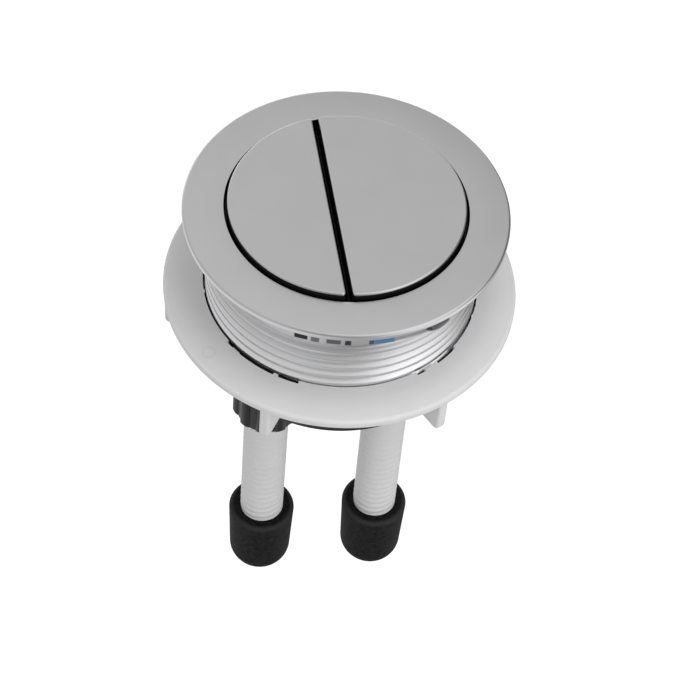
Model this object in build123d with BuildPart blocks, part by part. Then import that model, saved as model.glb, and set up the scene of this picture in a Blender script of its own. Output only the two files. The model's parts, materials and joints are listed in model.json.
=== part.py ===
from build123d import *
import os

# Dual flush push button for a cistern lid, in millimetres, with +Z up.
# The origin is on the neck's axis, in the plane of the bezel's underside, which seats on the lid.
# +X runs from the half flush button to the full flush button, and the slot between them runs along Y.

os.makedirs("parts", exist_ok=True)

# Bezel and neck, one plated moulding
bezel_radius = 36.75
bezel_rim_height = 1.5
bezel_rise = 0.45
bezel_rim_round = 0.7
bezel_seat_round = 0.25
opening_radius = 27.4
opening_edge_round = 0.3
lip_depth = 1.5
bore_radius = 28.8
neck_root_radius = 30.3
neck_length = 39.2
neck_corner_round = 0.6

# Coarse thread outside the neck
thread_pitch = 2.8
thread_height = 1.05
thread_root_width = 2.3
thread_crest_width = 0.8
thread_sink = 0.25
thread_top_depth = 9.1
thread_end_margin = 2.1

# Push button caps and the slot between them
button_radius = 26.7
button_top = 3.5
button_wall = 1.6
button_roof = 1.8
button_edge_round = 0.4
button_corner_round = 0.8
slot_centre_x = -3.5
slot_width = 1.48

# Plungers under the caps
plate_clearance = 0.3
plate_thickness = 2.4
plate_slot_gap = 0.8
cap_clearance = 0.15
locating_wall = 1.6
locating_height = 2.6
stem_radius = 7.0
stem_end_depth = 57.0
stem_bore_depth = 10.0
spring_boss_height = 1.4
half_stem_x = -15.5
full_stem_x = 14.5

# Carrier that closes the neck and guides the stems
carrier_flange_thickness = 2.0
carrier_floor_thickness = 3.0
carrier_plug_height = 8.0
carrier_plug_wall = 1.8
carrier_plug_clearance = 0.1
guide_clearance = 0.08
guide_wall = 1.5
guide_height = 16.0
snap_bead_height = 0.3
snap_bead_width = 1.6
snap_clearance = 0.1

# Return springs
spring_wire_radius = 0.6
spring_clearance = 0.4
spring_turns = 6.5

# Push rods with their lock nuts and rubber tips
rod_radius = 5.57
rod_clearance = 0.06
rod_top_depth = 34.0
full_rod_drop = 2.5
rod_end_chamfer = 0.8
lock_nut_height = 14.0
lock_nut_core_radius = 7.5
lock_nut_lobe_radius = 1.6
lock_nut_reach = 8.5
lock_nut_lobes = 10
lock_nut_round = 2.6
lock_nut_round_margin = 0.4
tip_top_depth = 112.5
tip_length = 22.9
tip_socket_depth = 12.5
tip_socket_clearance = 0.03
tip_shoulder_radius = 8.5
tip_shoulder_round = 1.1
tip_foot_radius = 7.75
tip_foot_round = 6.4

# Ring nut under the lid
nut_drop = 23.0
nut_crown = 0.8
nut_land_width = 2.4
nut_flange_radius = 40.9
nut_flange_thickness = 2.4
nut_flange_round = 0.9
nut_bore_radius = 32.4
nut_sleeve_wall = 1.7
nut_height = 12.6
nut_sleeve_height = 11.0
nut_wide_lug_clearance = 0.45
nut_wide_lug_angle = 74.0
nut_wide_lug_turn = -8.0
nut_slim_lug_clearance = 0.15
nut_slim_lug_angle = 49.5
nut_slim_lug_turn = -90.8
nut_wide_guide_angle = 6.5
nut_wide_guide_turn = -58.8
nut_slim_guide_angle = 2.0
nut_slim_guide_turn = -125.4
nut_step_angle = 4.0
nut_step_turn = -146.0
nut_step_drop = 0.7
nut_ribs = 6
nut_rib_thickness = 2.4
nut_rib_round = 1.6
nut_rib_edge_round = 0.6
nut_rib_inset = 0.4
nut_rib_first_angle = -3.0

# Places that follow from the sizes above
bezel_inner_top = bezel_rim_height + bezel_rise
thread_crest_radius = neck_root_radius + thread_height
stop_z = -lip_depth
plate_radius = bore_radius - plate_clearance
plate_underside = stop_z - plate_thickness
guide_radius = stem_radius + guide_clearance
guide_outer_radius = guide_radius + guide_wall
floor_top = -neck_length - carrier_flange_thickness + carrier_floor_thickness
plug_radius = bore_radius - carrier_plug_clearance
snap_z = -neck_length + carrier_plug_height / 2
rod_bore_radius = rod_radius + rod_clearance
rod_end_depth = tip_top_depth + tip_socket_depth
spring_inner_radius = guide_outer_radius + spring_clearance
spring_radius = spring_inner_radius + spring_wire_radius
wide_lug_radius = thread_crest_radius + nut_wide_lug_clearance
slim_lug_radius = thread_crest_radius + nut_slim_lug_clearance
sleeve_radius = nut_bore_radius + nut_sleeve_wall
slot_half_x = slot_centre_x - slot_width / 2
slot_full_x = slot_centre_x + slot_width / 2
plate_half_x = slot_centre_x - plate_slot_gap / 2
plate_full_x = slot_centre_x + plate_slot_gap / 2


def half_disc(radius, edge_x, side):
    """A disc cut straight at edge_x, keeping the part on the given side, -1 for half flush or +1 for full."""
    Circle(radius)
    with Locations((edge_x - side * radius, 0)):
        Rectangle(2 * radius, 4 * radius, mode=Mode.SUBTRACT)


# Housing: bezel, opening lip and neck turned as one profile, with the snap groove for the carrier
groove_radius = plug_radius + snap_bead_height + snap_clearance
groove_half_width = snap_bead_width / 2 + snap_clearance

with BuildPart() as housing:
    with BuildSketch(Plane.XZ):
        with BuildLine():
            Polyline(
                (opening_radius, stop_z),
                (opening_radius, bezel_inner_top),
                (bezel_radius, bezel_rim_height),
                (bezel_radius, 0),
                (neck_root_radius, 0),
                (neck_root_radius, -neck_length),
                (bore_radius, -neck_length),
                (bore_radius, snap_z - groove_half_width),
                (groove_radius, snap_z),
                (bore_radius, snap_z + groove_half_width),
                (bore_radius, stop_z),
                close=True,
            )
        make_face()
    revolve(axis=Axis.Z)
    rims = housing.edges().filter_by(GeomType.CIRCLE)
    outer_rims = rims.filter_by(lambda edge: abs(edge.radius - bezel_radius) < 0.01).sort_by(Axis.Z)
    fillet(outer_rims[-1], bezel_rim_round)
    fillet(outer_rims[0], bezel_seat_round)
    inner_rims = housing.edges().filter_by(GeomType.CIRCLE)
    inner_rims = inner_rims.filter_by(lambda edge: abs(edge.radius - opening_radius) < 0.01)
    fillet(inner_rims.sort_by(Axis.Z)[-1], opening_edge_round)
    neck_rims = housing.edges().filter_by(GeomType.CIRCLE)
    neck_rims = neck_rims.filter_by(lambda edge: abs(edge.radius - neck_root_radius) < 0.01)
    fillet(neck_rims.sort_by(Axis.Z)[-1], neck_corner_round)

# The thread is one ridge swept along a helix from the neck's lower end up to the plain band
thread_start_z = -neck_length + thread_root_width / 2 + thread_end_margin
thread_rise = neck_length - thread_top_depth - thread_root_width - thread_end_margin

with BuildPart() as thread:
    with BuildLine() as thread_route:
        Helix(thread_pitch, thread_rise, neck_root_radius, center=(0, 0, thread_start_z))
    with BuildSketch(Plane(thread_route.line @ 0, x_dir=(1, 0, 0), z_dir=thread_route.line % 0)):
        with BuildLine():
            Polyline(
                (-thread_sink, -thread_root_width / 2),
                (thread_height, -thread_crest_width / 2),
                (thread_height, thread_crest_width / 2),
                (-thread_sink, thread_root_width / 2),
                close=True,
            )
        make_face()
    sweep(path=thread_route.line, is_frenet=True)

with BuildPart() as threaded_housing:
    add(housing.part)
    add(thread.part)

threaded_housing.part.label = "housing"
export_step(threaded_housing.part, "parts/housing.step")


# Carrier: flange under the neck, snap plug in the bore and one guide tube for each stem
with BuildPart() as carrier:
    with BuildSketch(Plane.XZ):
        with BuildLine():
            Polyline(
                (0, -neck_length - carrier_flange_thickness),
                (neck_root_radius, -neck_length - carrier_flange_thickness),
                (neck_root_radius, -neck_length),
                (plug_radius, -neck_length),
                (plug_radius, snap_z - snap_bead_width / 2),
                (plug_radius + snap_bead_height, snap_z),
                (plug_radius, snap_z + snap_bead_width / 2),
                (plug_radius, -neck_length + carrier_plug_height),
                (plug_radius - carrier_plug_wall, -neck_length + carrier_plug_height),
                (plug_radius - carrier_plug_wall, floor_top),
                (0, floor_top),
                close=True,
            )
        make_face()
    revolve(axis=Axis.Z)
    with BuildSketch(Plane.XY.offset(floor_top)):
        with Locations((half_stem_x, 0), (full_stem_x, 0)):
            Circle(guide_outer_radius)
    extrude(amount=guide_height)
    with BuildSketch(Plane.XY.offset(-neck_length - carrier_flange_thickness)):
        with Locations((half_stem_x, 0), (full_stem_x, 0)):
            Circle(guide_radius)
    extrude(amount=carrier_floor_thickness + guide_height, mode=Mode.SUBTRACT)

carrier.part.label = "carrier"
export_step(carrier.part, "parts/carrier.step")


# Button caps: hollow D-shaped shells with rounded top edges, one each side of the slot
def make_button(name, edge_x, side):
    with BuildPart() as button:
        with BuildSketch(Plane.XY.offset(stop_z)) as outline:
            half_disc(button_radius, edge_x, side)
            fillet(outline.vertices(), button_corner_round)
        extrude(amount=button_top - stop_z)
        fillet(button.faces().sort_by(Axis.Z)[-1].edges(), button_edge_round)
        with BuildSketch(Plane.XY.offset(stop_z)):
            half_disc(button_radius - button_wall, edge_x + side * button_wall, side)
        extrude(amount=button_top - button_roof - stop_z, mode=Mode.SUBTRACT)
    button.part.label = name
    export_step(button.part, f"parts/{name}.step")


make_button("half_flush_button", slot_half_x, -1)
make_button("full_flush_button", slot_full_x, +1)


# Plungers: a stop plate under the lip, a locating wall inside the cap, and a bored stem
def make_plunger(name, stem_x, plate_x, cap_x, side):
    wall_radius = button_radius - button_wall - cap_clearance
    wall_x = cap_x + side * (button_wall + cap_clearance)
    with BuildPart() as plunger:
        with BuildSketch(Plane.XY.offset(plate_underside)):
            half_disc(plate_radius, plate_x, side)
        extrude(amount=plate_thickness)
        with BuildSketch(Plane.XY.offset(stop_z)):
            half_disc(wall_radius, wall_x, side)
        extrude(amount=locating_height)
        with BuildSketch(Plane.XY.offset(stop_z)):
            half_disc(wall_radius - locating_wall, wall_x + side * locating_wall, side)
        extrude(amount=locating_height, mode=Mode.SUBTRACT)
        with BuildSketch(Plane.XY.offset(plate_underside)):
            with Locations((stem_x, 0)):
                Circle(guide_outer_radius)
        extrude(amount=-spring_boss_height)
        with BuildSketch(Plane.XY.offset(plate_underside)):
            with Locations((stem_x, 0)):
                Circle(stem_radius)
        extrude(amount=-stem_end_depth - plate_underside)
        with BuildSketch(Plane.XY.offset(-stem_end_depth)):
            with Locations((stem_x, 0)):
                Circle(rod_bore_radius)
        extrude(amount=stem_end_depth - stem_bore_depth, mode=Mode.SUBTRACT)
    plunger.part.label = name
    export_step(plunger.part, f"parts/{name}.step")


make_plunger("half_flush_plunger", half_stem_x, plate_half_x, slot_half_x, -1)
make_plunger("full_flush_plunger", full_stem_x, plate_full_x, slot_full_x, +1)


# Return springs: round wire round each guide tube, from the carrier's floor to the stop plate
def make_spring(name, stem_x):
    wire_rise = plate_underside - floor_top - 2 * spring_wire_radius
    with BuildPart() as spring:
        with BuildLine() as wire_route:
            Helix(
                wire_rise / spring_turns,
                wire_rise,
                spring_radius,
                center=(stem_x, 0, floor_top + spring_wire_radius),
            )
        with BuildSketch(Plane(wire_route.line @ 0, z_dir=wire_route.line % 0)):
            Circle(spring_wire_radius)
        sweep(path=wire_route.line, is_frenet=True)
    spring.part.label = name
    export_step(spring.part, f"parts/{name}.step")


make_spring("half_flush_spring", half_stem_x)
make_spring("full_flush_spring", full_stem_x)


# Push rods: plain at thread crest diameter, chamfered at both ends, the full flush one screwed further out
def make_rod(name, stem_x, drop):
    with BuildPart() as rod:
        with BuildSketch(Plane.XY.offset(-rod_end_depth - drop)):
            with Locations((stem_x, 0)):
                Circle(rod_radius)
        extrude(amount=rod_end_depth - rod_top_depth)
        chamfer(rod.edges().filter_by(GeomType.CIRCLE), rod_end_chamfer)
    rod.part.label = name
    export_step(rod.part, f"parts/{name}.step")


make_rod("half_flush_rod", half_stem_x, 0)
make_rod("full_flush_rod", full_stem_x, full_rod_drop)


# Lock nuts: a lobed hand grip, rounded at both ends, bored for the rod
def make_lock_nut(name, stem_x):
    lock_nut_end_depth = stem_end_depth + lock_nut_height
    envelope_radius = lock_nut_reach + lock_nut_round_margin
    with BuildPart() as lock_nut:
        with BuildSketch(Plane.XY.offset(-lock_nut_end_depth)):
            with Locations((stem_x, 0)):
                Circle(lock_nut_core_radius)
                with PolarLocations(lock_nut_reach - lock_nut_lobe_radius, lock_nut_lobes):
                    Circle(lock_nut_lobe_radius)
        extrude(amount=lock_nut_height)
        side_plane = Plane((stem_x, 0, -lock_nut_end_depth), x_dir=(1, 0, 0), z_dir=(0, -1, 0))
        with BuildSketch(side_plane) as envelope:
            with Locations((envelope_radius / 2, lock_nut_height / 2)):
                Rectangle(envelope_radius, lock_nut_height)
            fillet(envelope.vertices().group_by(Axis.X)[-1], lock_nut_round)
        revolve(axis=Axis((stem_x, 0, 0), (0, 0, 1)), mode=Mode.INTERSECT)
        with BuildSketch(Plane.XY.offset(-lock_nut_end_depth)):
            with Locations((stem_x, 0)):
                Circle(rod_bore_radius)
        extrude(amount=lock_nut_height, mode=Mode.SUBTRACT)
    lock_nut.part.label = name
    export_step(lock_nut.part, f"parts/{name}.step")


make_lock_nut("half_flush_lock_nut", half_stem_x)
make_lock_nut("full_flush_lock_nut", full_stem_x)


# Rubber tips: a rounded shoulder, a slight taper and a domed foot with a small flat
def make_tip(name, stem_x, drop):
    tip_end_depth = tip_top_depth + tip_length + drop
    socket_radius = rod_radius + tip_socket_clearance
    with BuildPart() as tip:
        side_plane = Plane((stem_x, 0, -tip_end_depth), x_dir=(1, 0, 0), z_dir=(0, -1, 0))
        with BuildSketch(side_plane) as outline:
            with BuildLine():
                Polyline(
                    (0, tip_length),
                    (tip_shoulder_radius, tip_length),
                    (tip_foot_radius, 0),
                    (0, 0),
                    close=True,
                )
            make_face()
            fillet(outline.vertices().sort_by(Axis.X)[-1], tip_shoulder_round)
            fillet(outline.vertices().group_by(Axis.Y)[0].sort_by(Axis.X)[-1], tip_foot_round)
        revolve(axis=Axis((stem_x, 0, 0), (0, 0, 1)))
        with BuildSketch(Plane.XY.offset(-rod_end_depth - drop)):
            with Locations((stem_x, 0)):
                Circle(socket_radius)
        extrude(amount=tip_socket_depth, mode=Mode.SUBTRACT)
    tip.part.label = name
    export_step(tip.part, f"parts/{name}.step")


make_tip("half_flush_tip", half_stem_x, 0)
make_tip("full_flush_tip", full_stem_x, full_rod_drop)


# Ring nut: a crowned flange and a sleeve turned as one, with grip ribs under the flange
# Its bore has wide and slim thread lugs, a guide in each gap between them and a low step in the wide gaps
nut_bottom = -nut_drop - nut_height
sleeve_bottom = -nut_drop - nut_sleeve_height
land_radius = nut_bore_radius + nut_land_width
flange_rim_top = -nut_drop - nut_crown
flange_underside = flange_rim_top - nut_flange_thickness
rib_top = flange_rim_top - nut_flange_thickness / 2
rib_inner_radius = nut_bore_radius + nut_sleeve_wall / 2
rib_outer_radius = nut_flange_radius - nut_rib_inset


def ring_sector(inner_radius, outer_radius, middle_angle, angle):
    """A piece of a ring, in a sketch, angle degrees wide about middle_angle."""
    with BuildLine() as outline:
        inner = CenterArc((0, 0), inner_radius, middle_angle - angle / 2, angle)
        outer = CenterArc((0, 0), outer_radius, middle_angle - angle / 2, angle)
        Line(inner @ 0, outer @ 0)
        Line(inner @ 1, outer @ 1)
    make_face(outline.edges())


with BuildPart() as grip_rib:
    with BuildSketch(Plane.XZ) as rib_outline:
        with BuildLine():
            Polyline(
                (rib_inner_radius, rib_top),
                (rib_outer_radius, rib_top),
                (rib_outer_radius, nut_bottom),
                (rib_inner_radius, nut_bottom),
                close=True,
            )
        make_face()
        fillet(rib_outline.vertices().group_by(Axis.Y)[0].sort_by(Axis.X)[-1], nut_rib_round)
    extrude(amount=nut_rib_thickness / 2, both=True)
    fillet(grip_rib.edges().filter_by(Axis.Z).group_by(Axis.X)[-1], nut_rib_edge_round)

with BuildPart() as ring_nut:
    with BuildSketch(Plane.XZ):
        with BuildLine():
            land = Line((nut_bore_radius, -nut_drop), (land_radius, -nut_drop))
            crown = TangentArc(land @ 1, (nut_flange_radius, flange_rim_top), tangent=land % 1)
            Polyline(
                crown @ 1,
                (nut_flange_radius, flange_underside),
                (sleeve_radius, flange_underside),
                (sleeve_radius, sleeve_bottom),
                (nut_bore_radius, sleeve_bottom),
                land @ 0,
            )
        make_face()
    revolve(axis=Axis.Z)
    flange_rims = ring_nut.edges().filter_by(GeomType.CIRCLE)
    fillet(flange_rims.filter_by(lambda edge: abs(edge.radius - nut_flange_radius) < 0.01), nut_flange_round)
    with BuildSketch(Plane.XY.offset(sleeve_bottom)):
        for half_turn in (0, 180):
            ring_sector(wide_lug_radius, sleeve_radius, half_turn + nut_wide_lug_turn, nut_wide_lug_angle)
            ring_sector(slim_lug_radius, sleeve_radius, half_turn + nut_slim_lug_turn, nut_slim_lug_angle)
            ring_sector(wide_lug_radius, sleeve_radius, half_turn + nut_wide_guide_turn, nut_wide_guide_angle)
            ring_sector(wide_lug_radius, sleeve_radius, half_turn + nut_slim_guide_turn, nut_slim_guide_angle)
    extrude(amount=nut_sleeve_height)
    with BuildSketch(Plane.XY.offset(sleeve_bottom)):
        for half_turn in (0, 180):
            ring_sector(wide_lug_radius, sleeve_radius, half_turn + nut_step_turn, nut_step_angle)
    extrude(amount=nut_sleeve_height - nut_step_drop)
    with PolarLocations(0, nut_ribs, start_angle=nut_rib_first_angle):
        add(grip_rib.part)

ring_nut.part.label = "ring_nut"
export_step(ring_nut.part, "parts/ring_nut.step")
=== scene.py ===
import json
from math import ceil, cos, degrees, floor, pi, radians, sin, tan

import bmesh
import bpy
from mathutils import Matrix, Vector


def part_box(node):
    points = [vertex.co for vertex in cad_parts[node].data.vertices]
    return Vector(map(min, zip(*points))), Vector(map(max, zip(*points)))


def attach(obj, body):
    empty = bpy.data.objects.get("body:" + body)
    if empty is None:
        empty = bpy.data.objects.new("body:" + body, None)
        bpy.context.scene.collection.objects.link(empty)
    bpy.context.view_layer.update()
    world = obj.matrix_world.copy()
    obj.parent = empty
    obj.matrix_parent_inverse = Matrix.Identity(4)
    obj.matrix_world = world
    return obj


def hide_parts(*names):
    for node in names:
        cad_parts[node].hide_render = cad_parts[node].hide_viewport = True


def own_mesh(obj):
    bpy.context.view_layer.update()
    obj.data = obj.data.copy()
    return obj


# A dual flush push button for a cistern lid, dressed for its portrait.
# All sizes are in millimetres, in the part's own frame: +Z up out of the lid, +X from the half flush
# button to the full flush button, and the origin in the plane of the bezel's underside.

MM = 0.001
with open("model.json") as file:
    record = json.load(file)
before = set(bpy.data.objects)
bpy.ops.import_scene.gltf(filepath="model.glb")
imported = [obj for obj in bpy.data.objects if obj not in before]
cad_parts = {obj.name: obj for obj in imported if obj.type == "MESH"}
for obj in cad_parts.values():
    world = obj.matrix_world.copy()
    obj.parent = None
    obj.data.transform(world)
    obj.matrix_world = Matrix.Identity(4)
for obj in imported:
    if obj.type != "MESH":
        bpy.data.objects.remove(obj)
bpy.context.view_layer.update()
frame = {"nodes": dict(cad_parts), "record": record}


def box_mm(node):
    """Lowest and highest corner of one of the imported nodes, in millimetres."""
    low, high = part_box(node)
    return low / MM, high / MM


SLOTS = {subpart["node"]: subpart["material_slot"] for subpart in frame["record"]["subparts"]}
SIDES = ("half_flush", "full_flush")
ROD_BODY = {"half_flush": "half_rod", "full_flush": "full_rod"}

# Bezel and neck
housing_low, housing_high = box_mm("housing")
bezel_radius = housing_high.x
neck_length = -housing_low.z
bezel_rim_height = 1.5
bezel_rise = 0.45
bezel_rim_round = 0.7
bezel_seat_round = 0.25
opening_radius = 27.4
opening_edge_round = 0.15
lip_depth = 1.5
lip_edge_round = 0.15
bore_radius = 28.8
neck_radius = 30.3
neck_corner_round = 0.6
neck_end_round = 0.25
snap_depth = neck_length - 4.0
snap_width = 1.8
snap_groove = 0.3

# Coarse thread on the neck, with the distances from the middle of a crest where its side has points
thread_pitch = 2.8
thread_height = 1.05
thread_foot_width = 2.3
thread_crest_width = 1.0
thread_edge_round = 0.18
thread_first_crest = 35.95
thread_last_crest = 10.25
thread_run_out = 0.5
plain_band_depth = 9.0
THREAD_MARKS = (0.0, 0.20, 0.33, 0.41, 0.49, 0.57, 0.66, 0.77, 0.89, 0.99, 1.07, 1.15, 1.23, 1.32)

# Plating: how far it comes down the neck and the caps' walls, and how soon it fades out there; below it lies
# black painted shade, for the deep gap in the ring nut and the gaps and slot round the caps
neck_shade_depth = 24.6
shade_fade = 0.1
cap_wall_shade_depth = 0.46
cap_wall_shade_fade = 0.05
cap_wall_shade_edge = box_mm("full_flush_button")[1].z - cap_wall_shade_depth
opening_fade = 0.08

# Fine thread on the push rods
rod_pitch = 2.13
rod_thread_height = 0.22
rod_end_chamfer = 0.8

# Mark of the mould's gate on the ring nut
gate_place = (-32.6, -18.2)
gate_radius = 1.4
gate_ring_width = 0.6

# Painted highlight on the rubber tips' rounded shoulder, a paler grey: where it starts and is full, in from
# the side and down from the top
SHOULDER_HIGHLIGHT_IN = (1.6, 0.3)
SHOULDER_HIGHLIGHT_DOWN = (1.5, 0.2)

# Coil springs round the stems
spring_wire_radius = 0.6
spring_turns = 6.5


# Meshes: points that are closer than this are one, and narrower faces are taken out
weld_gap = 0.001
sliver_width = 0.0005


class Shape:
    """Points in millimetres and the faces between them, until they become a mesh."""

    def __init__(self):
        self.points = []
        self.faces = []

    def row(self, points):
        """Adds a row of points and gives their numbers."""
        first = len(self.points)
        self.points.extend(points)
        return range(first, len(self.points))

    def bridge(self, low, high, closed=True):
        """Four-sided faces between two rows of as many points."""
        count = len(low)
        for i in range(count if closed else count - 1):
            j = (i + 1) % count
            self.faces.append((low[i], low[j], high[j], high[i]))

    def bridge_all(self, rows, closed=True):
        """Faces between each row and the next."""
        for low, high in zip(rows, rows[1:]):
            self.bridge(low, high, closed)

    def close(self, row):
        """One flat face over a whole row."""
        self.faces.append(tuple(row))

    def piece(self, name, sharp_angle=35.0):
        """The finished object, with coincident points welded and its faces turned outward."""
        mesh = bpy.data.meshes.new(name)
        mesh.from_pydata([Vector(point) * MM for point in self.points], [], self.faces)
        work = bmesh.new()
        work.from_mesh(mesh)
        bmesh.ops.remove_doubles(work, verts=work.verts, dist=weld_gap * MM)
        bmesh.ops.dissolve_degenerate(work, edges=work.edges, dist=sliver_width * MM)
        bmesh.ops.recalc_face_normals(work, faces=work.faces)
        work.to_mesh(mesh)
        work.free()
        mesh.shade_smooth()
        mesh.set_sharp_from_angle(angle=radians(sharp_angle))
        obj = bpy.data.objects.new(name, mesh)
        bpy.context.scene.collection.objects.link(obj)
        return obj


def rounded(corners, steps):
    """The points of a line through corners (x, y, round), with an arc at each corner that has a round."""
    line = []
    for i, (x, y, size) in enumerate(corners):
        corner = Vector((x, y))
        if not size or i in (0, len(corners) - 1):
            line.append(corner)
            continue
        to_last = (Vector(corners[i - 1][:2]) - corner).normalized()
        to_next = (Vector(corners[i + 1][:2]) - corner).normalized()
        half_angle = to_last.angle(to_next) / 2
        middle = corner + (to_last + to_next).normalized() * size / sin(half_angle)
        start = corner + to_last * size / tan(half_angle) - middle
        turn = start.angle_signed(corner + to_next * size / tan(half_angle) - middle)
        for step in range(steps + 1):
            line.append(middle + Matrix.Rotation(-turn * step / steps, 2) @ start)
    return line


def circle(radius, z, count, centre):
    """Points round a level circle."""
    turns = [2 * pi * i / count for i in range(count)]
    return [(centre[0] + radius * cos(a), centre[1] + radius * sin(a), z) for a in turns]


def turned_rows(shape, line, count, centre=(0.0, 0.0)):
    """One ring of points for each point (radius, z) of a line."""
    return [shape.row(circle(radius, z, count, centre)) for radius, z in line]


def soft_limit(value, low, high, blend):
    """The value held between two limits, with a soft bend at each of them."""
    for limit, way in ((low, 1), (high, -1)):
        over = (value - limit) * way
        if over < -blend:
            value = limit
        elif over < blend:
            value = limit + way * (over + blend) ** 2 / (4 * blend)
    return value


def fade(value, span):
    """Rises smoothly from 0 at 0 to 1 at span."""
    share = min(max(value / span, 0.0), 1.0)
    return share * share * (3 - 2 * share)


def thread_skin(shape, count, low, high, radius, crest_at, pitch, offsets, height_at, centre=(0.0, 0.0)):
    """A threaded cylinder's side between two plain rings: rows of points that climb with the thread.
    crest_at is the height of a crest at angle 0, and height_at(offset, crest) gives the ridge's height
    at that distance from a crest."""
    spare_turns = 2
    first = floor((low - crest_at) / pitch) - spare_turns
    last = ceil((high - crest_at) / pitch) + spare_turns
    marks = [(turn, offset) for turn in range(first, last + 1) for offset in offsets]
    columns = []
    for i in range(count):
        angle = 2 * pi * i / count
        column = []
        for turn, offset in marks:
            crest = crest_at + pitch * (turn + i / count)
            z = crest + offset
            ridge = height_at(offset, crest) if low < z < high else 0.0
            reach = radius + ridge
            z = min(max(z, low), high)
            column.append((centre[0] + reach * cos(angle), centre[1] + reach * sin(angle), z))
        columns.append(shape.row(column))
    shape.bridge_all(columns, closed=False)
    step = len(offsets)
    shape.bridge(columns[-1][:-step], columns[0][step:], closed=False)


def plated_housing():
    """Bezel, opening lip and neck in one, with the coarse thread climbing the neck."""
    count = 240
    arc_steps = 8
    band_end = -plain_band_depth
    neck_end = -neck_length + neck_end_round
    snap_half = snap_width / 2
    line = rounded([
        (neck_radius, band_end, 0),
        (neck_radius, 0, neck_corner_round),
        (bezel_radius, 0, bezel_seat_round),
        (bezel_radius, bezel_rim_height, bezel_rim_round),
        (opening_radius, bezel_rim_height + bezel_rise, opening_edge_round),
        (opening_radius, -lip_depth, lip_edge_round),
        (bore_radius, -lip_depth, lip_edge_round),
        (bore_radius, -snap_depth + snap_half, 0),
        (bore_radius + snap_groove, -snap_depth, 0),
        (bore_radius, -snap_depth - snap_half, 0),
        (bore_radius, -neck_length, neck_end_round),
        (neck_radius, -neck_length, neck_end_round),
        (neck_radius, neck_end, 0),
    ], arc_steps)
    shape = Shape()
    shape.bridge_all(turned_rows(shape, line, count))

    foot = thread_foot_width / 2
    side_width = foot - thread_crest_width / 2

    def ridge(offset, crest):
        share = (foot - abs(offset)) / side_width
        full = thread_height * soft_limit(share, 0.0, 1.0, thread_edge_round / side_width)
        run_in = fade(crest + thread_first_crest, thread_run_out)
        return full * run_in * fade(-thread_last_crest - crest, thread_run_out)

    offsets = [-mark for mark in reversed(THREAD_MARKS[1:])] + list(THREAD_MARKS)
    thread_skin(
        shape, count, neck_end, band_end, neck_radius, -thread_first_crest, thread_pitch, offsets, ridge
    )
    return shape.piece("plated_housing")


def push_rod(side):
    """A rod with a fine rounded thread all along it, chamfered at both ends."""
    count = 48
    steps_per_pitch = 8
    low, high = box_mm(f"{side}_rod")
    centre = ((low.x + high.x) / 2, (low.y + high.y) / 2)
    root_radius = (high.x - low.x) / 2 - rod_thread_height
    shape = Shape()
    for end, inward in ((low.z, 1), (high.z, -1)):
        rings = turned_rows(shape, [
            (root_radius - rod_end_chamfer, end),
            (root_radius, end + inward * rod_end_chamfer),
        ], count, centre)
        shape.bridge_all(rings)
        shape.close(rings[0])

    thread_low = low.z + rod_end_chamfer
    thread_high = high.z - rod_end_chamfer

    def ridge(offset, crest):
        wave = rod_thread_height * (0.5 + 0.5 * cos(2 * pi * offset / rod_pitch))
        return wave * fade(crest - thread_low, rod_pitch) * fade(thread_high - crest, rod_pitch)

    offsets = [rod_pitch * (i / steps_per_pitch - 0.5) for i in range(steps_per_pitch)]
    thread_skin(shape, count, thread_low, thread_high, root_radius, low.z, rod_pitch, offsets, ridge, centre)
    return shape.piece(f"{side}_push_rod", sharp_angle=60.0)


def coil_spring(side):
    """Round wire wound up the guide tube, with its ends cut off square."""
    section_count = 12
    steps_per_turn = 48
    low, high = box_mm(f"{side}_spring")
    centre_x = (low.x + high.x) / 2
    coil_radius = (high.x - low.x) / 2 - spring_wire_radius
    rise = high.z - low.z - 2 * spring_wire_radius
    climb = rise / (2 * pi * spring_turns * coil_radius)
    steps = int(steps_per_turn * spring_turns)
    section = [2 * pi * i / section_count for i in range(section_count)]
    rows = []
    shape = Shape()
    for step in range(steps + 1):
        angle = 2 * pi * spring_turns * step / steps
        out = Vector((cos(angle), sin(angle), 0))
        along = Vector((-sin(angle), cos(angle), climb)).normalized()
        over = along.cross(out)
        middle = Vector((centre_x, 0, low.z + spring_wire_radius + rise * step / steps)) + out * coil_radius
        ring = [middle + (out * cos(a) + over * sin(a)) * spring_wire_radius for a in section]
        rows.append(shape.row(ring))
    shape.bridge_all(rows)
    shape.close(rows[0])
    shape.close(rows[-1])
    return shape.piece(f"{side}_coil_spring", sharp_angle=60.0)


# Finishes

class Field:
    """A value that varies over a surface. Its operators add the Math nodes that work it out."""

    def __init__(self, finish, socket):
        self.finish = finish
        self.socket = socket

    def math(self, operation, first, second=0.0):
        return self.finish.node("ShaderNodeMath", {"operation": operation}, {0: first, 1: second})

    def __add__(self, other):
        return self.math("ADD", self, other)

    def __sub__(self, other):
        return self.math("SUBTRACT", self, other)

    def __rsub__(self, other):
        return self.math("SUBTRACT", other, self)

    def __mul__(self, other):
        return self.math("MULTIPLY", self, other)

    def __truediv__(self, other):
        return self.math("DIVIDE", self, other)

    def __or__(self, other):
        return self.math("MAXIMUM", self, other)

    def __and__(self, other):
        return self.math("MINIMUM", self, other)

    __radd__ = __add__
    __rmul__ = __mul__

    def polar(self, other):
        """The compass turn in degrees of a point with this x and that y."""
        return self.math("ARCTAN2", other, self) * degrees(1)

    def reach(self, other):
        """The distance from the axis of a point with this x and that y."""
        return self.math("SQRT", self * self + other * other)

    def step(self, start, end):
        """0 before start and 1 after end, rising smoothly between them."""
        settings = {"interpolation_type": "SMOOTHSTEP"}
        sockets = {"Value": self, "From Min": start, "From Max": end}
        return self.finish.node("ShaderNodeMapRange", settings, sockets)

    def within(self, low, high, edge):
        """1 between low and high, with soft edges that wide."""
        return self.step(low - edge / 2, low + edge / 2) * (1 - self.step(high - edge / 2, high + edge / 2))


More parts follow.
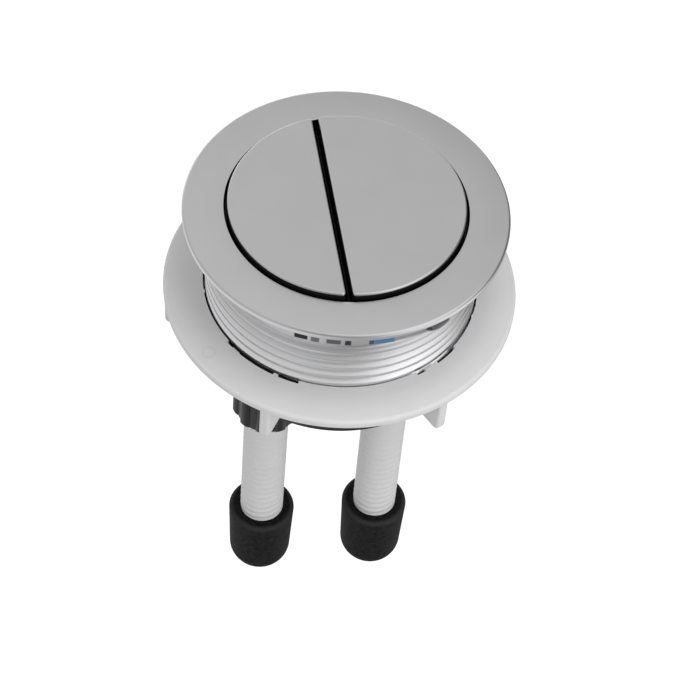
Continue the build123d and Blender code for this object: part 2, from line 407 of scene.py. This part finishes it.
class Finish:
    """The node tree of a material or a world, and the ways to add to it."""

    def __init__(self, owner):
        owner.use_nodes = True
        self.owner = owner
        self.tree = owner.node_tree
        self.tree.nodes.clear()

    def node(self, kind, settings=None, sockets=None, out=0):
        """Adds a node: its settings first, then the values or links of its sockets.
        Gives one of its outputs, if it has any."""
        made = self.tree.nodes.new(kind)
        for name, value in (settings or {}).items():
            setattr(made, name, value)
        for key, value in (sockets or {}).items():
            if isinstance(value, Field):
                self.tree.links.new(value.socket, made.inputs[key])
            else:
                made.inputs[key].default_value = value
        return Field(self, made.outputs[out]) if made.outputs else None

    def place(self):
        """The point on the object, in the part's frame, in metres."""
        return self.node("ShaderNodeTexCoord", out="Object")

    def parts(self, vector):
        """The three coordinates of a vector."""
        split = self.node("ShaderNodeSeparateXYZ", {}, {0: vector})
        return [Field(self, output) for output in split.socket.node.outputs]

    def axes(self):
        """The three coordinates of the point on the object, in millimetres."""
        return [part / MM for part in self.parts(self.place())]

    def ray(self, kind):
        """1 for rays of that kind and 0 for all others."""
        return self.node("ShaderNodeLightPath", out=f"Is {kind} Ray")

    def noise(self, size, detail=2.0, roughness=0.5):
        """Cloudy noise with grains of about that size in millimetres."""
        sockets = {"Vector": self.place(), "Scale": 1 / (size * MM), "Detail": detail, "Roughness": roughness}
        return self.node("ShaderNodeTexNoise", {}, sockets, out="Fac")

    def mix(self, share, first, second):
        """A colour between two colours."""
        return self.node("ShaderNodeMix", {"data_type": "RGBA"}, {0: share, 6: first, 7: second}, out=2)

    def bump(self, height, depth, strength):
        """A normal for that relief, with its depth in millimetres."""
        sockets = {"Height": height, "Distance": depth * MM, "Strength": strength}
        return self.node("ShaderNodeBump", {}, sockets)

    def output(self, shader, kind="ShaderNodeOutputMaterial"):
        """Ends the tree with a shader and gives its material or world."""
        self.node(kind, {}, {"Surface": shader})
        return self.owner

    def surface(self, sockets):
        """Ends a material with one principled surface."""
        return self.output(self.node("ShaderNodeBsdfPrincipled", {}, sockets))


def new_finish(name):
    """A new material with nothing in it."""
    return Finish(bpy.data.materials.new(name))


def grey(level, blue=0.0):
    """A grey, with a touch more blue."""
    return (level, level, level + blue, 1.0)


# Print on the neck's plain band, and painted shade under the bezel's rim in its last three fields: the
# compass turns and lower depths where each field starts and ends, its upper depth and its colour
BAND_PRINT_AND_SHADE = (
    (-119.7, -114.0, 9.8, 9.6, 6.6, (0.012, 0.011, 0.012, 1.0)),
    (-112.6, -109.0, 9.7, 9.7, 6.8, (0.17, 0.17, 0.18, 1.0)),
    (-106.0, -100.0, 9.5, 9.5, 6.2, (0.12, 0.12, 0.13, 1.0)),
    (-98.3, -95.7, 9.7, 9.7, 6.2, (0.03, 0.029, 0.031, 1.0)),
    (-88.2, -86.0, 9.8, 9.8, 6.4, (0.06, 0.09, 0.13, 1.0)),
    (-86.0, -77.0, 9.8, 10.3, 5.9, (0.085, 0.22, 0.40, 1.0)),
    # painted shade under the bezel's rim, not print, in this field and the two after it
    (-77.0, -62.0, 10.2, 10.6, 6.2, (0.34, 0.34, 0.34, 1.0)),
    (-62.0, -59.0, 10.5, 11.0, 6.2, (0.06, 0.06, 0.06, 1.0)),
    (-59.0, -50.0, 11.0, 12.9, 6.2, (0.15, 0.15, 0.16, 1.0)),
)
field_edge_turn = 0.6
field_edge = 0.35
# black for painted shade in the deep gaps, and for the faint gate mark on the ring nut
SHADE_AND_GATE_BLACK = grey(0.005)

# Painted shade and light on the neck's plating: darker at the plain band under the bezel's overhang, paler
# low down the thread where the lit ring nut brightens it. Its colours down the thread and at the plain band,
# and their heights
NECK_SHADED_PLATE = (grey(0.75, 0.008), grey(0.51, 0.008))
NECK_SHADE_HEIGHTS = (-22, -9)
NECK_TOP_HEIGHTS = (-0.8, -0.2)


def satin_base(finish):
    """The colour of satin silver plating, a little cloudy."""
    return finish.mix(finish.noise(9.0, detail=3.0), grey(0.50, 0.008), grey(0.54, 0.008))


def satin_surface(finish, base, non_metal, non_metal_roughness):
    """Satin plating with a very fine grain. Where the mask is 1 it is plastic, not metal, and that much
    rougher; it covers black painted shade and print.
    """
    return finish.surface({
        "Base Color": base,
        "Metallic": 1 - non_metal,
        "Specular IOR Level": 0.25,
        "Roughness": 0.28 + 0.06 * finish.noise(3.0) + non_metal_roughness * non_metal,
        "Normal": finish.bump(finish.noise(0.12), 0.004, 0.35),
    })


def plated_moulding():
    """Satin plating on the housing with the band's print and painted shade under the bezel's rim; painted
    shade and light in the neck's plating, darker under the bezel and paler down the thread; and black painted
    shade inside the opening and low on the neck."""
    finish = new_finish("plated_moulding")
    x, y, z = finish.axes()
    turn = x.polar(y)
    edge_top = bezel_rim_height + bezel_rise
    inside = 1 - x.reach(y).step(opening_radius, opening_radius + opening_fade)
    # painted shade: black on the opening's inner wall, where the gap round the caps is deep shade
    non_metal = inside * (1 - z.step(edge_top - 2 * shade_fade, edge_top - shade_fade))
    # painted shade: black low on the neck, where the ring nut's gap is deep shade
    non_metal = non_metal | (1 - z.step(-neck_shade_depth - shade_fade, -neck_shade_depth + shade_fade))
    # painted shade and light: the neck darker high under the bezel, paler low down the thread
    neck = 1 - z.step(*NECK_TOP_HEIGHTS)
    neck_shaded_plate = finish.mix(z.step(*NECK_SHADE_HEIGHTS), *NECK_SHADED_PLATE)
    plating = finish.mix(neck, satin_base(finish), neck_shaded_plate)
    base = finish.mix(non_metal, plating, SHADE_AND_GATE_BLACK)
    # each field is print, except the last three, which are painted shade under the rim
    for first, last, low, last_low, high, field_colour in BAND_PRINT_AND_SHADE:
        lower_edge = z + low + (turn - first) * ((last_low - low) / (last - first))
        field = turn.within(first, last, field_edge_turn) * lower_edge.step(0, field_edge)
        field = field * (1 - z.step(-high - field_edge, -high))
        base = finish.mix(field, base, field_colour)
        non_metal = non_metal | field
    return satin_surface(finish, base, non_metal, non_metal_roughness=0.17)


def plated_caps():
    """Satin plating over the top and rounded edge of each cap, with black painted shade on the walls below,
    where the gaps and slot round the caps are deep shade.
    """
    finish = new_finish("plated_caps")
    z = finish.axes()[2]
    non_metal = 1 - z.step(cap_wall_shade_edge - cap_wall_shade_fade, cap_wall_shade_edge + cap_wall_shade_fade)
    # painted shade: the caps' walls black, so the gaps and the slot between the caps read dark
    base = finish.mix(non_metal, satin_base(finish), SHADE_AND_GATE_BLACK)
    return satin_surface(finish, base, non_metal, non_metal_roughness=0.25)


def white_base(finish, level):
    """The colour of white moulded plastic, a little cloudy."""
    return finish.mix(finish.noise(7.0, detail=3.0), grey(level, 0.008), grey(level + 0.04, 0.006))


def white_grain(finish):
    """The fine relief of white moulded plastic."""
    return finish.noise(0.25, detail=3.0)


def white_surface(finish, base, relief):
    """White moulded plastic with a low sheen."""
    return finish.surface({
        "Base Color": base,
        "Roughness": 0.46 + 0.12 * finish.noise(1.5),
        "Specular IOR Level": 0.35,
        "Normal": finish.bump(relief, 0.012, 0.4),
    })


def white_moulding():
    """The push rods' white plastic."""
    finish = new_finish("white_moulding")
    return white_surface(finish, white_base(finish, 0.715), white_grain(finish))


def nut_moulding():
    """The ring nut's white plastic, with the faint round mark of its mould's gate."""
    finish = new_finish("nut_moulding")
    x, y, z = finish.axes()
    from_gate = (x - gate_place[0]).reach(y - gate_place[1])
    ring_half = gate_ring_width / 2
    gate = from_gate.within(gate_radius - ring_half, gate_radius + ring_half, gate_ring_width)
    base = finish.mix(0.06 * gate, white_base(finish, 0.74), SHADE_AND_GATE_BLACK)
    return white_surface(finish, base, white_grain(finish) - gate)


def black_moulding():
    """Black moulded plastic with a low sheen."""
    finish = new_finish("black_moulding")
    cloud = finish.noise(4.0, detail=3.0)
    grain = finish.noise(0.3, detail=3.0)
    return finish.surface({
        "Base Color": finish.mix(cloud, grey(0.006), grey(0.009)),
        "Roughness": 0.38 + 0.10 * finish.noise(1.2),
        "Specular IOR Level": 0.25,
        "Normal": finish.bump(grain, 0.015, 0.5),
    })


def moulded_rubber(side):
    """Matt black rubber with a mottled skin, and a painted highlight that makes the tip's shoulder a little
    paler.
    """
    finish = new_finish(f"{side}_rubber")
    low, high = box_mm(f"{side}_tip")
    radius = (high.x - low.x) / 2
    x, y, z = finish.axes()
    reach = (x - (low.x + radius)).reach(y)
    from_side = reach.step(*(radius - inset for inset in SHOULDER_HIGHLIGHT_IN))
    from_top = z.step(*(high.z - depth for depth in SHOULDER_HIGHLIGHT_DOWN))
    cloud = finish.noise(1.2, detail=4.0, roughness=0.6).step(0.3, 0.7)
    skin = finish.mix(cloud, grey(0.002), grey(0.012))
    grain = finish.noise(0.5, detail=4.0, roughness=0.65)
    return finish.surface({
        # painted highlight: the shoulder's paler grey stands in for light on its rounded edge
        "Base Color": finish.mix(from_side * from_top, skin, grey(0.036)),
        "Roughness": 0.60 + 0.2 * finish.noise(1.0),
        "Specular IOR Level": 0.11,
        "Normal": finish.bump(grain, 0.05, 0.5),
    })


def spring_wire():
    """Drawn stainless wire."""
    finish = new_finish("spring_wire")
    cloud = finish.noise(1.2, detail=3.0)
    return finish.surface({
        "Base Color": finish.mix(cloud, grey(0.48), grey(0.62)),
        "Metallic": 1.0,
        "Roughness": 0.24 + 0.14 * finish.noise(0.4),
    })


# Assembly

SLOT_FINISHES = {
    "satin_plate": plated_caps(),
    "white_plastic": white_moulding(),
    "black_plastic": black_moulding(),
    "spring_wire": spring_wire(),
}
OWN_FINISHES = {
    "housing": plated_moulding(),
    "ring_nut": nut_moulding(),
    "half_flush_tip": moulded_rubber("half_flush"),
    "full_flush_tip": moulded_rubber("full_flush"),
}


def finish_of(node):
    """The node's own finish, or else that of its material slot."""
    return OWN_FINISHES.get(node) or SLOT_FINISHES[SLOTS[node]]


def fit(piece, body, node):
    """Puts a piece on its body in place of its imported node."""
    piece.data.materials.append(finish_of(node))
    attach(piece, body)
    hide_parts(node)


for node in SLOTS:
    frame["nodes"][node].material_slots[0].material = finish_of(node)

fit(plated_housing(), "root", "housing")
for side in SIDES:
    fit(push_rod(side), ROD_BODY[side], f"{side}_rod")
    spring = coil_spring(side)
    fit(spring, "root", f"{side}_spring")
    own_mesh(spring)


# Studio

def studio_world():
    """A soft white room that the plating mirrors: darker towards the back and at both sides, with a bright
    window at the front right, a dim stretch at the front left and a pale backdrop low at the back."""
    finish = Finish(bpy.data.worlds.new("white_room"))
    bpy.context.scene.world = finish.owner
    white = finish.ray("Camera") | finish.ray("Transmission")
    glossy = finish.ray("Glossy")
    x, y, z = finish.parts(finish.node("ShaderNodeTexCoord", out="Generated"))
    darkest, brightest = 0.30, 0.92
    room = ((0.815 - 0.48 * x - 0.33 * y + 0.41 * z) | darkest) & brightest
    right_wall = x.step(0.55, 0.85)
    left_wall = 1 - x.step(-0.7, -0.2)
    across = 0.94 * x + 0.342 * y
    window = across.step(-0.1, 0.25) * (1 - across.step(0.65, 0.9)) * (1 - y.step(0.0, 0.4))
    dim = across.within(-0.75, -0.1, 0.3) * (1 - y.step(-0.8, -0.4))
    backdrop = y.step(0.7, 0.95) * (1 - z.step(0.0, 0.35))
    room = room * (1 - 0.45 * right_wall) * (1 - 0.17 * left_wall) * (1 - 0.5 * dim)
    room = room + 0.62 * window + 1.5 * backdrop
    ambient = 0.45 - 0.13 * x - 0.06 * y + 0.08 * z
    strength = white + (1 - white) * (glossy * room + (1 - glossy) * ambient)
    sky = finish.node("ShaderNodeBackground", {}, {"Color": grey(1.0), "Strength": strength})
    finish.output(sky, "ShaderNodeOutputWorld")


def studio_floor():
    """A wide white floor well below the part, which mirrors paler at the left and at the front right."""
    drop = 800.0
    reach = 4000.0
    mesh = bpy.data.meshes.new("floor")
    corners = [(-reach, -reach), (reach, -reach), (reach, reach), (-reach, reach)]
    mesh.from_pydata([Vector((x, y, -drop)) * MM for x, y in corners], [], [(0, 1, 2, 3)])
    floor_object = bpy.data.objects.new("floor", mesh)
    bpy.context.scene.collection.objects.link(floor_object)
    finish = new_finish("white_floor")
    white = finish.ray("Camera") | finish.ray("Transmission")
    x, y, z = finish.axes()
    left = 1 - x.step(-420, -60)
    front_right = x.step(350, 750) * (1 - y.step(-150, 150))
    shine = (0.1 + 0.52 * left + 0.9 * front_right) * finish.ray("Glossy")
    matt = finish.node("ShaderNodeBsdfDiffuse", {}, {"Color": grey(0.5)})
    glow = finish.node("ShaderNodeEmission", {}, {"Color": 0.2 + 0.58 * white + shine})
    mesh.materials.append(finish.output(finish.node("ShaderNodeAddShader", {}, {0: matt, 1: glow})))


def softbox(name, turn, height, distance, size, power):
    """A square soft lamp that faces the part, at a compass turn from +X and a height above the horizon.
    It stays out of the part's reflections, which show the room alone."""
    aim = Vector((0, 0, -30))
    lamp = bpy.data.lights.new(name, "AREA")
    lamp.size = size * MM
    lamp.energy = power
    lamp_object = bpy.data.objects.new(name, lamp)
    bpy.context.scene.collection.objects.link(lamp_object)
    a, e = radians(turn), radians(height)
    back = Vector((cos(a) * cos(e), sin(a) * cos(e), sin(e)))
    lamp_object.location = (aim + back * distance) * MM
    lamp_object.rotation_euler = back.to_track_quat("Z", "Y").to_euler()
    lamp_object.visible_glossy = False


def portrait_camera():
    """The photograph's view, from above and in front, with its slight tilt."""
    azimuth = radians(-12.839)
    elevation = radians(51.402)
    tilt = radians(5.428)
    distance = 500.0
    aim_right = 1.26
    aim_up = -29.42
    aim_height = 1.5
    image_focal = 2244.9
    image_width = 680
    back = Vector((sin(azimuth) * cos(elevation), -cos(azimuth) * cos(elevation), sin(elevation)))
    right = Vector((cos(azimuth), sin(azimuth), 0))
    up = back.cross(right)
    place = back * distance + right * aim_right + up * aim_up + Vector((0, 0, aim_height))
    tilted_right = right * cos(tilt) + up * sin(tilt)
    tilted_up = up * cos(tilt) - right * sin(tilt)
    lens = bpy.data.cameras.new("portrait")
    lens.sensor_width = 36.0
    lens.lens = image_focal / image_width * lens.sensor_width
    lens.clip_start = 10.0 * MM
    lens.clip_end = 20000.0 * MM
    camera = bpy.data.objects.new("portrait", lens)
    turn = Matrix((tilted_right, tilted_up, back)).transposed()
    camera.matrix_world = Matrix.Translation(place * MM) @ turn.to_4x4()
    bpy.context.scene.collection.objects.link(camera)
    bpy.context.scene.camera = camera


studio_world()
studio_floor()
softbox("key_light", turn=-50, height=74, distance=750, size=400, power=1.65)
softbox("fill_light", turn=-140, height=35, distance=900, size=600, power=0.7)
softbox("low_light", turn=-52, height=10, distance=900, size=600, power=2.5)
portrait_camera()

bpy.context.scene.view_settings.view_transform = "Standard"
